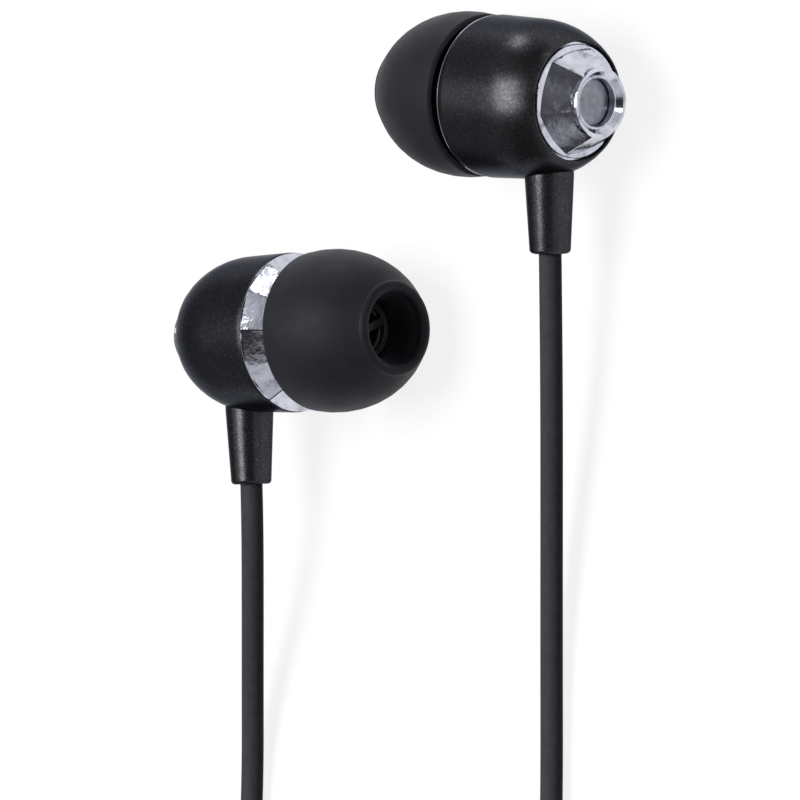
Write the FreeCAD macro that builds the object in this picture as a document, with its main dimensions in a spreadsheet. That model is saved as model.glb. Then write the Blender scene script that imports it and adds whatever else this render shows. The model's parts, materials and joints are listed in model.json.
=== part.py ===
import FreeCAD, Part
import math
import os
import re
import Sketcher

Vector = FreeCAD.Vector
Placement = FreeCAD.Placement
Rotation = FreeCAD.Rotation

# Driving dimensions in millimetres and degrees
# Along an earphone's axis, stations start at the crest of the end cap and grow towards the ear tip
SIZES = {
    # Where the two earphones lie on the table
    "left_bud_x": -21.75, "left_bud_y": -6.45, "left_bud_yaw": 1.42, "left_bud_roll": 0.75,
    "right_bud_x": 21.63, "right_bud_y": 10.42, "right_bud_yaw": 3.86, "right_bud_roll": 4.75,
    # Barrel
    "shell_length": 8.61, "shell_radius": 6.03, "shell_wall": 0.78, "shell_lip_radius": 4.38,
    "shell_lip_wall": 0.14, "shell_lip_depth": 1.01, "shell_taper": 3.0, "shell_bulge": 1.75,
    "shell_bulge_share": 0.657, "shell_shoulder": 4.5, "shell_shoulder_step": 0.11,
    "shell_front_bevel": 0.45, "shell_front_step": 0.06,
    # End cap with its facets, crest and recess
    "cap_height": 2.46, "cap_seat": 0.07, "cap_groove": 0.19, "cap_collar": 0.44, "cap_spigot": 0.7,
    "cap_facet_step": 0.04, "cap_facet_over": 0.26, "cap_facet_top": 0.12, "cap_facets": 6,
    "cap_facet_turn": 19, "cap_wall": 0.6,
    "crest_radius": 2.6, "crest_step": 0.3, "crest_round": 0.12, "crest_depth": 0.42,
    "dish_step": 0.12, "dish_depth": 0.44, "disc_depth": 0.99, "disc_radius": 1.75,
    "disc_thickness": 0.3, "disc_bevel": 0.08,
    # Front bezel ring
    "bezel_edge": 0.12, "bezel_step": 0.04, "bezel_length": 1.38, "bezel_facets": 12,
    "bezel_facet_turn": 28, "bezel_facet_step": 0.02, "bezel_front_radius": 4.83,
    "bezel_bore": 4.2, "bezel_spigot": 0.7,
    # Nozzle
    "nozzle_collar": 1.1, "nozzle_collar_front": 0.05, "nozzle_collar_wall": 0.55, "nozzle_neck": 0.45,
    "nozzle_flare": 0.65, "nozzle_radius": 2.1, "nozzle_wall": 0.5, "nozzle_length": 7.67,
    "barb_step": 0.2, "barb_length": 1.1, "barb_end_step": 0.15, "barb_bevel": 0.22,
    # Guard and mesh in the nozzle
    "guard_wall": 0.35, "guard_ring": 0.15, "guard_thickness": 0.4, "guard_inset": 0.06,
    "spoke_width": 0.65, "spokes": 3, "spoke_turn": 22.6,
    "mesh_inset": 1.7, "mesh_thickness": 0.12,
    # Ear tip, with stations from its own rear edge
    "tip_length": 8.42, "tip_radius": 6.14, "tip_rear_step": 0.12, "tip_edge": 0.2, "tip_wall": 0.42,
    "tip_bulge_station": 2.1, "tip_shoulder": 4.3, "tip_shoulder_step": 0.34,
    "tip_brow": 6.6, "tip_brow_step": 1.38, "tip_front": 8.05, "tip_front_radius": 3.6,
    "tip_lip": 0.78, "tip_lip_depth": 0.65, "tip_sleeve_wall": 0.6, "tip_sleeve_start": 1.1,
    "tip_throat": 5.9, "tip_web": 0.3, "tip_web_width": 0.9, "tip_dome_station": 5.3,
    "tip_dome_width": 1.85, "tip_seat": 1.03, "left_tip_out": 1.43, "right_tip_out": 0.0,
    # Stem under the barrel, with stations from the earphone's axis
    "stem_station": 5.5, "stem_radius": 1.82, "stem_end_radius": 1.53, "stem_length": 11.33,
    "stem_start": 4.6, "stem_seat": 5.75, "stem_corner": 0.3,
    # Driver
    "driver_front": 0.1, "cover_thickness": 0.15, "cover_hole": 0.45, "cover_holes": 6,
    "cover_hole_circle": 2.9, "frame_length": 1.9, "frame_floor": 0.6, "frame_lip": 0.5,
    "frame_band": 1.3, "vent_radius": 0.32, "vents": 4, "yoke_wall": 0.65, "yoke_base": 0.5,
    "magnet_thickness": 1.05, "magnet_step": 0.15, "plate_thickness": 0.35,
    "coil_gap": 0.12, "coil_wall": 0.26, "coil_length": 0.87, "cone_lift": 0.22,
    "cone_gap": 0.15, "cone_thickness": 0.08, "dome_rise": 0.18, "surround_rise": 0.14,
    "board_radius": 2.6, "board_thickness": 0.35, "board_gap": 0.05, "pad_radius": 0.4,
    "pad_height": 0.2, "pad_spacing": 1.0, "pads": 2, "damper_edge": 0.1, "damper_thickness": 0.15,
    "wire_diameter": 0.24, "wire_spread": 0.3, "wire_rise": 1.0, "wire_bend_station": 0.35,
    "wire_bend_height": 0.45, "wire_bend_spread": 0.75, "wire_end": 0.55,
    # Cord ends inside the stems
    "knot_radius": 1.4, "knot_top": 2.2, "knot_width": 3.4, "knot_bottom": 4.55,
    # Cords and their coils
    "branch_diameter": 1.7, "branch_pitch": 2.6, "branch_layer": 2.3, "branch_coil_radius": 7.2,
    "main_diameter": 2.0, "main_pitch": 2.85, "main_layer": 2.6, "main_coil_radius": 8.0,
    "coil_lift": 0.55, "left_coil_entry_x": -21.35, "left_coil_y": -54.25, "right_coil_entry_x": 1.9,
    "right_coil_y": -60.0, "main_coil_entry_x": -4.4, "main_coil_y": -100.8,
    # Ties round the coils
    "tie_width": 3.0, "tie_thickness": 0.4, "tie_gap": 0.12, "tie_side_gap": 0.3, "tie_round": 0.9,
    # Splitter
    "splitter_x": -0.2, "splitter_y": -78.0, "splitter_turn": 15.0, "splitter_length": 11.5,
    "splitter_radius": 2.45, "splitter_end_radius": 1.75, "splitter_round": 0.5, "branch_offset": 1.05,
    "splitter_lift": 0.1,
    # Straight runs of cord at the stems, the coils and the splitter
    "left_cord_straight": 3.2, "right_cord_straight": 4.2, "coil_run_in": 4.0, "splitter_run_in": 4.4,
    # Plug, with stations from the boot's cord end
    "plug_x": -19.0, "plug_y": -99.1, "boot_length": 6.5, "boot_radius": 2.3, "boot_end_radius": 1.5,
    "boot_groove": 0.35, "boot_groove_width": 0.7, "boot_groove_slope": 0.05, "boot_spigot": 5.5,
    "boot_spigot_radius": 1.5,
    "grip_length": 13.0, "grip_radius": 3.0, "grip_round": 0.6,
    "pin_radius": 1.75, "pin_length": 14.0, "sleeve_length": 6.7, "sleeve_shoulder": 2.0,
    "sleeve_depth": 3.4, "sleeve_bore": 1.25, "insulator_length": 0.7, "ring_length": 2.2,
    "ring_tube": 0.95, "ring_wall": 0.15, "front_insulator_length": 0.5, "rod_radius": 0.55,
    "plug_tip_step": 0.1, "plug_waist_radius": 1.2, "plug_waist": 0.7, "plug_bulb": 1.2,
    "plug_end": 0.7, "plug_end_radius": 1.05,
    # Fits
    "fit": 0.05, "press": 0.03,
}

# Free stretches of cord, between their two ends, as points chosen by hand
LEFT_ROUTE = [(-17.6, -27.0, 4.34), (-19.9, -33.6, 2.2), (-21.2, -40.0, 0.98), (-21.35, -46.0, 1.15)]
RIGHT_ROUTE = [(14.3, -11.5, 3.98), (12.7, -20.5, 2.4), (11.5, -30.0, 1.22), (11.28, -39.0, 0.98),
               (11.3, -43.7, 1.1), (9.05, -47.6, 1.25), (4.15, -50.4, 1.4)]
LEFT_LEAD_ROUTE = [(-5.6, -63.4, 8.3), (-1.95, -65.5, 7.1), (0.0, -69.2, 4.9)]
RIGHT_LEAD_ROUTE = [(1.9, -65.9, 8.3)]
MAIN_ROUTE = [(-4.01, -92.2, 2.55), (-4.4, -95.8, 1.55)]
TAIL_ROUTE = [(1.8, -87.81, 14.55), (-12.5, -87.8, 5.5), (-16.6, -90.2, 3.8), (-19.0, -94.3, 3.0)]

doc = FreeCAD.newDocument("WiredEarphones")
sheet = doc.addObject("Spreadsheet::Sheet", "Sizes")
for row, (alias, value) in enumerate(SIZES.items(), start=1):
    sheet.set(f"A{row}", alias)
    sheet.set(f"B{row}", str(value))
    sheet.setAlias(f"B{row}", alias)
doc.recompute()


def words(text):
    """The same formula with every size read from the sheet."""
    return re.sub(r"[a-z][a-z_]*", lambda found: "Sizes." + found.group(0)
                  if found.group(0) in SIZES else found.group(0), text)


def size(text):
    """The value of a formula in the sheet's sizes."""
    return float(sheet.evalExpression(words(text)))


# Named stations along an earphone's axis, worked out from the sizes
CAP_RADIUS = "(shell_lip_radius - cap_groove)"
CREST_TOP_RADIUS = "(crest_radius + crest_step)"
SHELL_BACK = "(cap_height - cap_seat)"
SHELL_FRONT = f"({SHELL_BACK} + shell_length)"
SHELL_BORE = "(shell_radius - shell_wall)"
SHELL_BACK_RADIUS = "(shell_lip_radius + shell_lip_wall)"
SHELL_SHOULDER_RADIUS = "(shell_radius - shell_shoulder_step)"
LIP_END = f"({SHELL_BACK} + shell_lip_depth)"
RIM = f"({SHELL_FRONT} + press)"
BEZEL_FRONT = f"({RIM} + bezel_length)"
BEZEL_RADIUS = "(shell_radius - bezel_step)"
NOZZLE_BASE = f"({BEZEL_FRONT} + nozzle_collar_front)"
NOZZLE_BACK = f"({NOZZLE_BASE} - nozzle_collar)"
NOZZLE_END = f"({RIM} + nozzle_length)"
NOZZLE_BORE = "(nozzle_radius - nozzle_wall)"
CHAMBER_RADIUS = "(bezel_bore - fit - nozzle_collar_wall)"
BARB_RADIUS = "(nozzle_radius + barb_step)"
GUARD_BACK = f"({NOZZLE_END} - guard_inset - guard_thickness)"
GUARD_RADIUS = f"({BARB_RADIUS} - guard_wall)"
TIP_SEAT = f"({RIM} + tip_seat)"
TIP_BORE = f"({BARB_RADIUS} + fit)"
TIP_REAR_RADIUS = "(tip_radius - tip_rear_step)"
TIP_SHOULDER_RADIUS = "(tip_radius - tip_shoulder_step)"
TIP_MOUTH_RADIUS = "(tip_front_radius - tip_lip)"
COVER_FRONT = f"({RIM} - bezel_spigot - driver_front)"
FRAME_FRONT = f"({COVER_FRONT} - cover_thickness - fit)"
FRAME_BACK = f"({FRAME_FRONT} - frame_length)"
FRAME_RIM = f"({SHELL_BORE} - fit - frame_lip)"
YOKE_FRONT = f"({FRAME_FRONT} - frame_floor)"
PLATE_BACK = f"({YOKE_FRONT} - plate_thickness)"
MAGNET_BACK = f"({PLATE_BACK} - magnet_thickness)"
YOKE_BACK = f"({MAGNET_BACK} - yoke_base)"
YOKE_RADIUS = f"({FRAME_RIM} - frame_band)"
YOKE_BORE = f"({YOKE_RADIUS} - yoke_wall)"
COIL_RADIUS = f"({YOKE_BORE} - coil_gap)"
COIL_BORE = f"({COIL_RADIUS} - coil_wall)"
PLATE_RADIUS = f"({COIL_BORE} - coil_gap)"
CONE_BACK = f"({YOKE_FRONT} + cone_lift)"
CONE_RADIUS = f"({FRAME_RIM} - cone_gap)"
BOARD_FRONT = f"({YOKE_BACK} - board_gap)"


def add_constraint(sketch, kind, *data):
    """A constraint whose last item is a formula, bound to the sheet."""
    index = sketch.addConstraint(Sketcher.Constraint(kind, *data[:-1], size(data[-1])))
    sketch.setExpression(f"Constraints[{index}]", words(data[-1]))


def place_point(sketch, geometry, vertex, corner):
    """Hold one sketch point at the formulas of its two coordinates."""
    add_constraint(sketch, "DistanceX", -1, 1, geometry, vertex, corner[0])
    if corner[1] == "0":
        sketch.addConstraint(Sketcher.Constraint("PointOnObject", geometry, vertex, -1))
    else:
        add_constraint(sketch, "DistanceY", -1, 1, geometry, vertex, corner[1])


def draw_outline(sketch, corners, closing=None):
    """Closed outline through corners (x, y), where (x, y, through) ends an arc through a third point."""
    if closing:
        corners = [(*corners[0], closing)] + corners[1:]
    places = [Vector(size(corner[0]), size(corner[1]), 0) for corner in corners]
    pieces = []
    for index, start in enumerate(places):
        after = (index + 1) % len(corners)
        end = places[after]
        if len(corners[after]) == 2:
            pieces.append((sketch.addGeometry(Part.LineSegment(start, end)), 1, 2))
            continue
        through = corners[after][2]
        middle = Vector(size(through[0]), size(through[1]), 0)
        if (middle - start).cross(end - middle).z > 0:
            pieces.append((sketch.addGeometry(Part.Arc(start, middle, end)), 1, 2))
        else:
            pieces.append((sketch.addGeometry(Part.Arc(end, middle, start)), 2, 1))
        mark = sketch.addGeometry(Part.Point(middle), True)
        sketch.addConstraint(Sketcher.Constraint("PointOnObject", mark, 1, pieces[-1][0]))
        place_point(sketch, mark, 1, through)
    for index, piece in enumerate(pieces):
        before = pieces[index - 1]
        sketch.addConstraint(Sketcher.Constraint("Coincident", before[0], before[2], piece[0], piece[1]))
        place_point(sketch, piece[0], piece[1], corners[index])


def new_body(label):
    body = doc.addObject("PartDesign::Body", label)
    body.Label = label
    return body


def new_sketch(body, name, plane, station="0"):
    """A sketch on one of the body's own planes, moved along the plane's normal to a station."""
    sketch = body.newObject("Sketcher::SketchObject", name)
    support = next(item for item in body.Origin.OriginFeatures if item.Role == plane)
    sketch.AttachmentSupport = [(support, "")]
    sketch.MapMode = "FlatFace"
    if station != "0":
        sketch.setExpression("AttachmentOffset.Base.z", words(station))
    return sketch


def revolve(body, name, corners, cut=False):
    """Turn an outline about the body's X axis, to add or to cut."""
    sketch = new_sketch(body, name + "_outline", "XY_Plane")
    draw_outline(sketch, corners)
    kind = "PartDesign::Groove" if cut else "PartDesign::Revolution"
    feature = body.newObject(kind, name)
    feature.Profile = sketch
    feature.ReferenceAxis = (sketch, ["H_Axis"])
    feature.Angle = 360
    return feature


def turned(label, corners):
    """A body made by turning one outline."""
    body = new_body(label)
    revolve(body, label + "_turn", corners)
    return body


def polar_pattern(body, feature, sketch, count):
    pattern = body.newObject("PartDesign::PolarPattern", feature.Name + "_ring")
    pattern.Originals = [feature]
    pattern.Axis = (sketch, ["N_Axis"])
    pattern.Angle = 360
    pattern.setExpression("Occurrences", words(count))
    body.Tip = pattern
    return pattern


def draw_circle(sketch, x, y, radius):
    """A circle whose centre and radius are formulas; x is never nought."""
    centre = Vector(size(x), size(y), 0)
    circle = sketch.addGeometry(Part.Circle(centre, Vector(0, 0, 1), size(radius)))
    add_constraint(sketch, "Radius", circle, radius)
    place_point(sketch, circle, 3, (x, y))


def round_holes(body, name, station, depth, circle, radius, count):
    """A ring of round holes through a plate, drilled along X from a station towards the cap."""
    sketch = new_sketch(body, name + "_circle", "YZ_Plane", station)
    draw_circle(sketch, circle, "0", radius)
    hole = body.newObject("PartDesign::Pocket", name)
    hole.Profile = sketch
    hole.setExpression("Length", words(depth))
    polar_pattern(body, hole, sketch, count)


def rear_shell(label):
    """The barrel: an open egg with a lip round the cap, and the stem's hole."""
    body = turned(label, [
        (SHELL_BACK, "shell_lip_radius"),
        (SHELL_BACK, SHELL_BACK_RADIUS),
        (f"{SHELL_BACK} + shell_shoulder", SHELL_SHOULDER_RADIUS,
         (f"{SHELL_BACK} + shell_bulge", f"{SHELL_BACK_RADIUS}"
          f" + ({SHELL_SHOULDER_RADIUS} - {SHELL_BACK_RADIUS}) * shell_bulge_share")),
        (f"{SHELL_FRONT} - shell_front_bevel", "shell_radius"),
        (SHELL_FRONT, "shell_radius - shell_front_step"),
        (SHELL_FRONT, SHELL_BORE),
        (f"{LIP_END} + shell_taper", SHELL_BORE),
        (LIP_END, "shell_lip_radius"),
    ])
    sketch = new_sketch(body, label + "_stem_circle", "XZ_Plane")
    draw_circle(sketch, "stem_station", "0", "stem_radius + press")
    hole = body.newObject("PartDesign::Pocket", label + "_stem_hole")
    hole.Profile = sketch
    hole.Reversed = True
    hole.setExpression("Length", words("shell_radius + 1"))
    return body


def draw_facet_ring(sketch, radius, count, turn):
    """A regular polygon with its first corner turned from the sketch's X axis."""
    corners = []
    for index in range(count):
        angle = f"({turn} + {index} * 360 / {count})"
        corners.append((f"{radius} * cos({angle} * 1 deg)", f"{radius} * sin({angle} * 1 deg)"))
    draw_outline(sketch, corners)


def faceted_cone(body, foot_station, foot_radius, head_station, head_radius, count, turn):
    """A solid cone of flat facets between two regular polygons; it becomes or joins the body."""
    sections = []
    for name, station, radius in (("foot", foot_station, foot_radius), ("head", head_station, head_radius)):
        sections.append(new_sketch(body, f"{body.Label}_facet_{name}", "YZ_Plane", station))
        draw_facet_ring(sections[-1], radius, int(size(count)), turn)
    cone = body.newObject("PartDesign::AdditiveLoft", body.Label + "_facets")
    cone.Profile = sections[0]
    cone.Sections = sections[1:]
    cone.Ruled = True


def end_cap(label):
    """The chrome cap: a rounded-off cone of facets on a collar, with a dished crest and a hollow back."""
    body = new_body(label)
    faceted_cone(body, "cap_height", f"({CAP_RADIUS} + cap_facet_over)", "cap_facet_top", CREST_TOP_RADIUS,
                 "cap_facets", "cap_facet_turn")
    revolve(body, label + "_round", [
        ("cap_facet_top", f"{CAP_RADIUS} - cap_facet_step"),
        ("cap_height", f"{CAP_RADIUS} - cap_facet_step"),
        ("cap_height", "2 * shell_radius"),
        ("cap_facet_top", "2 * shell_radius"),
    ], cut=True)
    revolve(body, label + "_crest", [
        ("crest_depth", "0"),
        ("0", "0"),
        ("0", "crest_radius - crest_round"),
        ("crest_round", "crest_radius"),
        ("crest_depth", "crest_radius"),
    ])
    revolve(body, label + "_collar", [
        ("cap_height", "0"),
        ("cap_height", CAP_RADIUS),
        ("cap_height + cap_collar", CAP_RADIUS),
        ("cap_height + cap_collar", "shell_lip_radius - fit"),
        ("cap_height + cap_collar + cap_spigot", "shell_lip_radius - fit"),
        ("cap_height + cap_collar + cap_spigot", "0"),
    ])
    revolve(body, label + "_recess", [
        ("0", "0"),
        ("0", "crest_radius - 2 * crest_round"),
        ("dish_depth", "disc_radius + dish_step"),
        ("disc_depth", "disc_radius + fit"),
        ("disc_depth + disc_thickness + press", "disc_radius + fit"),
        ("disc_depth + disc_thickness + press", "0"),
    ], cut=True)
    inner = "disc_depth + disc_thickness + cap_wall"
    revolve(body, label + "_hollow", [
        ("cap_height + cap_collar + cap_spigot", "0"),
        ("cap_height + cap_collar + cap_spigot", f"{CAP_RADIUS} - cap_wall"),
        ("cap_height + cap_collar", f"{CAP_RADIUS} - cap_wall"),
        (inner, "crest_radius"),
        (inner, "0"),
    ], cut=True)
    return body


def cap_disc(label):
    return turned(label, [
        ("disc_depth + disc_bevel", "disc_radius"),
        ("disc_depth", "disc_radius - disc_bevel"),
        ("disc_depth", "0"),
        ("disc_depth + disc_thickness", "0"),
        ("disc_depth + disc_thickness", "disc_radius"),
    ])


def bezel_ring(label):
    """The chrome ring: a thin round edge, facets towards the nozzle and a spigot in the barrel."""
    body = turned(label, [
        (RIM, BEZEL_RADIUS),
        (f"{RIM} + bezel_edge", BEZEL_RADIUS),
        (f"{RIM} + bezel_edge", "bezel_bore"),
        (f"{RIM} - bezel_spigot", "bezel_bore"),
        (f"{RIM} - bezel_spigot", f"{SHELL_BORE} - fit"),
        (RIM, f"{SHELL_BORE} - fit"),
    ])
    faceted_cone(body, f"{RIM} + bezel_edge", f"({BEZEL_RADIUS} - bezel_facet_step)",
                 BEZEL_FRONT, "bezel_front_radius", "bezel_facets", "bezel_facet_turn")
    revolve(body, label + "_bore", [
        (RIM, "0"),
        (BEZEL_FRONT, "0"),
        (BEZEL_FRONT, "bezel_bore"),
        (RIM, "bezel_bore"),
    ], cut=True)
    return body


def nozzle(label):
    """The front housing: a collar in the bezel, a short neck and the sound tube with its barb."""
    return turned(label, [
        (NOZZLE_BACK, CHAMBER_RADIUS),
        (NOZZLE_BACK, "bezel_bore - fit"),
        (NOZZLE_BASE, "bezel_bore - fit"),
        (f"{NOZZLE_BASE} + nozzle_neck", "nozzle_radius",
         (f"{NOZZLE_BASE} + nozzle_neck / 3", "nozzle_radius + nozzle_flare")),
        (f"{NOZZLE_END} - barb_length", "nozzle_radius"),
        (f"{NOZZLE_END} - barb_length + barb_bevel", BARB_RADIUS),
        (f"{NOZZLE_END} - barb_bevel", BARB_RADIUS),
        (NOZZLE_END, f"{BARB_RADIUS} - barb_end_step"),
        (NOZZLE_END, f"{GUARD_RADIUS} + press"),
        (f"{GUARD_BACK} - press", f"{GUARD_RADIUS} + press"),
        (f"{GUARD_BACK} - press", NOZZLE_BORE),
        (f"{NOZZLE_BASE} + nozzle_neck", NOZZLE_BORE),
        (f"{NOZZLE_BASE} - nozzle_neck", f"{CHAMBER_RADIUS} - nozzle_neck"),
    ])


def nozzle_guard(label):
    """The guard: a thin ring with spokes that meet at its centre."""
    opening = f"({GUARD_RADIUS} - guard_ring)"
    body = turned(label, [
        (GUARD_BACK, opening),
        (GUARD_BACK, GUARD_RADIUS),
        (f"{GUARD_BACK} + guard_thickness", GUARD_RADIUS),
        (f"{GUARD_BACK} + guard_thickness", opening),
    ])
    sketch = new_sketch(body, label + "_spoke_outline", "YZ_Plane", GUARD_BACK)
    along = ("sin(spoke_turn * 1 deg)", "-cos(spoke_turn * 1 deg)")
    reach = f"({GUARD_RADIUS} - guard_ring / 2)"
    corners = []
    for distance, side in (("0", "-1"), (reach, "-1"), (reach, "1"), ("0", "1")):
        half = f"{side} * spoke_width / 2"
        corners.append((f"{distance} * {along[0]} - {half} * {along[1]}",
                        f"{distance} * {along[1]} + {half} * {along[0]}"))
    draw_outline(sketch, corners)
    spoke = body.newObject("PartDesign::Pad", label + "_spoke")
    spoke.Profile = sketch
    spoke.setExpression("Length", words("guard_thickness"))
    polar_pattern(body, spoke, sketch, "spokes")
    return body


def nozzle_mesh(label):
    front = f"({NOZZLE_END} - mesh_inset)"
    return turned(label, [
        (f"{front} - mesh_thickness", "0"),
        (f"{front} - mesh_thickness", f"{NOZZLE_BORE} - press"),
        (front, f"{NOZZLE_BORE} - press"),
        (front, "0"),
    ])


def ear_tip(label):
    """The silicone tip: a thin skirt, a dome that thickens to a soft lip, and the inner sleeve."""
    sleeve = f"({TIP_BORE} + tip_sleeve_wall)"
    return turned(label, [
        ("0", f"{TIP_REAR_RADIUS} - tip_wall", ("tip_bulge_station", "tip_radius - tip_wall")),
        ("0", f"{TIP_REAR_RADIUS} - 0.85 * tip_edge"),
        ("tip_edge", TIP_REAR_RADIUS, ("0.3 * tip_edge", f"{TIP_REAR_RADIUS} - 0.25 * tip_edge")),
        ("tip_shoulder", TIP_SHOULDER_RADIUS, ("tip_bulge_station", "tip_radius")),
        ("tip_front", "tip_front_radius", ("tip_brow", "tip_radius - tip_brow_step")),
        ("tip_length - tip_lip_depth", TIP_MOUTH_RADIUS,
         ("tip_length", "tip_front_radius - tip_lip / 2")),
        ("tip_throat", TIP_BORE,
         ("(tip_length + tip_throat) / 2", f"({TIP_MOUTH_RADIUS} + 3 * {TIP_BORE}) / 4")),
        ("tip_sleeve_start", TIP_BORE),
        ("tip_sleeve_start", sleeve),
        ("tip_throat", sleeve),
        ("tip_throat + tip_web", f"{sleeve} + tip_web_width"),
        ("tip_shoulder - tip_wall", f"{TIP_SHOULDER_RADIUS} - tip_wall",
         ("tip_dome_station", f"{sleeve} + tip_dome_width")),
    ])


def stem(label):
    """The tapered outlet: a plain top in the barrel's hole and a rounded end round the cord."""
    return turned(label, [
        ("stem_start", "branch_diameter / 2 + press"),
        ("stem_start", "stem_radius"),
        ("stem_seat", "stem_radius"),
        ("stem_length - stem_corner", "stem_end_radius"),
        ("stem_length", "stem_end_radius - stem_corner",
         ("stem_length - 0.29 * stem_corner", "stem_end_radius - 0.29 * stem_corner")),
        ("stem_length", "branch_diameter / 2 + press"),
    ])


def cord_knot(label):
    """The cord's end in the stem, with the knot that stops it above."""
    return turned(label, [
        ("knot_top", "0"),
        ("knot_top", "branch_diameter / 3"),
        ("knot_bottom", "branch_diameter / 2", ("knot_width", "knot_radius")),
        ("stem_length", "branch_diameter / 2"),
        ("stem_length", "0"),
    ])


def driver_cover(label):
    body = turned(label, [
        (f"{COVER_FRONT} - cover_thickness", "cover_hole"),
        (f"{COVER_FRONT} - cover_thickness", f"{SHELL_BORE} - fit"),
        (COVER_FRONT, f"{SHELL_BORE} - fit"),
        (COVER_FRONT, "cover_hole"),
    ])
    round_holes(body, label + "_holes", COVER_FRONT, "2 * cover_thickness",
                "cover_hole_circle", "cover_hole", "cover_holes")
    return body


def driver_frame(label):
    """The basket: a ring that holds the yoke, with a step for the diaphragm and rear vents."""
    body = turned(label, [
        (FRAME_BACK, f"{YOKE_RADIUS} + press"),
        (FRAME_BACK, f"{SHELL_BORE} - fit"),
        (FRAME_FRONT, f"{SHELL_BORE} - fit"),
        (FRAME_FRONT, FRAME_RIM),
        (YOKE_FRONT, FRAME_RIM),
        (YOKE_FRONT, f"{YOKE_RADIUS} + press"),
    ])
    round_holes(body, label + "_vents", YOKE_FRONT, "frame_length",
                f"{FRAME_RIM} - frame_band / 2", "vent_radius", "vents")
    return body


def driver_yoke(label):
    return turned(label, [
        (YOKE_BACK, "0"),
        (YOKE_BACK, YOKE_RADIUS),
        (YOKE_FRONT, YOKE_RADIUS),
        (YOKE_FRONT, YOKE_BORE),
        (MAGNET_BACK, YOKE_BORE),
        (MAGNET_BACK, "0"),
    ])


def driver_magnet(label):
    return turned(label, [
        (MAGNET_BACK, "0"),
        (MAGNET_BACK, f"{PLATE_RADIUS} - magnet_step"),
        (PLATE_BACK, f"{PLATE_RADIUS} - magnet_step"),
        (PLATE_BACK, "0"),
    ])


def driver_top_plate(label):
    return turned(label, [
        (PLATE_BACK, "0"),
        (PLATE_BACK, PLATE_RADIUS),
        (YOKE_FRONT, PLATE_RADIUS),
        (YOKE_FRONT, "0"),
    ])


def voice_coil(label):
    return turned(label, [
        (f"{CONE_BACK} - coil_length", COIL_BORE),
        (f"{CONE_BACK} - coil_length", COIL_RADIUS),
        (CONE_BACK, COIL_RADIUS),
        (CONE_BACK, COIL_BORE),
    ])


def diaphragm(label):
    """The moving film: a shallow dome inside the coil's ring and a half roll outside it."""
    top = f"{CONE_BACK} + cone_thickness"
    roll = f"({COIL_RADIUS} + {CONE_RADIUS}) / 2"
    return turned(label, [
        (f"{CONE_BACK} + dome_rise", "0"),
        (CONE_BACK, COIL_BORE, (f"{CONE_BACK} + dome_rise * 0.75", f"{COIL_BORE} / 2")),
        (CONE_BACK, COIL_RADIUS),
        (CONE_BACK, CONE_RADIUS, (f"{CONE_BACK} + surround_rise", roll)),
        (top, CONE_RADIUS),
        (top, COIL_RADIUS, (f"{top} + surround_rise", roll)),
        (top, COIL_BORE),
        (f"{top} + dome_rise", "0", (f"{top} + dome_rise * 0.75", f"{COIL_BORE} / 2")),
    ])


def terminal_board(label):
    """The solder board behind the yoke, with one pad for each lead wire."""
    body = turned(label, [
        (f"{BOARD_FRONT} - board_thickness", "0"),
        (f"{BOARD_FRONT} - board_thickness", "board_radius"),
        (BOARD_FRONT, "board_radius"),
        (BOARD_FRONT, "0"),
    ])
    back = f"({BOARD_FRONT} - board_thickness - pad_height)"
    sketch = new_sketch(body, label + "_pad_circle", "YZ_Plane", back)
    centre = sketch.addGeometry(Part.Circle(Vector(0, size("pad_spacing"), 0), Vector(0, 0, 1),
                                            size("pad_radius")))
    add_constraint(sketch, "Radius", centre, "pad_radius")
    sketch.addConstraint(Sketcher.Constraint("PointOnObject", centre, 3, -2))
    add_constraint(sketch, "DistanceY", -1, 1, centre, 3, "pad_spacing")
    pad = body.newObject("PartDesign::Pad", label + "_pad")
    pad.Profile = sketch
    pad.setExpression("Length", words("pad_height"))
    polar_pattern(body, pad, sketch, "pads")
    return body


def rear_damper(label):
    return turned(label, [
        (f"{FRAME_BACK} - damper_thickness", f"{YOKE_RADIUS} + damper_edge"),
        (f"{FRAME_BACK} - damper_thickness", f"{FRAME_RIM} - damper_edge"),
        (FRAME_BACK, f"{FRAME_RIM} - damper_edge"),
        (FRAME_BACK, f"{YOKE_RADIUS} + damper_edge"),
    ])


def wire_through(points):
    """Straight runs joined by the largest tangent arcs that the runs allow; prints the least radius."""
    edges = []
    start = points[0]
    radii = []
    for before, corner, after in zip(points, points[1:], points[2:]):
        back = corner - before
        ahead = after - corner
        reach = 0.45 * min(back.Length, ahead.Length)
        turn = back.getAngle(ahead)
        radii.append(reach / math.tan(turn / 2))
        back.normalize()
        ahead.normalize()
        first = corner - back * reach
        last = corner + ahead * reach
        bisector = (ahead - back).normalize()
        sagitta = radii[-1] / math.cos(turn / 2) - radii[-1]
        edges.append(Part.LineSegment(start, first).toShape())
        edges.append(Part.Arc(first, corner + bisector * sagitta, last).toShape())
        start = last
    edges.append(Part.LineSegment(start, points[-1]).toShape())
    return Part.Wire(edges), radii


def sweep_tube(path, start, heading, diameter):
    """A round tube along a path that starts at a point with a heading."""
    circle = Part.Wire(Part.Circle(start, heading, diameter / 2).toShape())
    return path.makePipeShell([circle], True, False)


def solid_node(label, shape):
    feature = doc.addObject("Part::Feature", label)
    feature.Label = label
    feature.Shape = shape
    return feature


def cord(label, points, diameter):
    """A free stretch of cord; its volume is compared with its section times its length."""
    path, radii = wire_through(points)
    solid = sweep_tube(path, points[0], points[1] - points[0], diameter)
    expected = math.pi * diameter ** 2 / 4 * path.Length
    print(f"{label}: length {path.Length:.1f}, radii {[round(radius, 1) for radius in radii]},"
          f" volume ratio {solid.Volume / expected:.4f}")
    return solid_node(label, solid)


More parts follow.
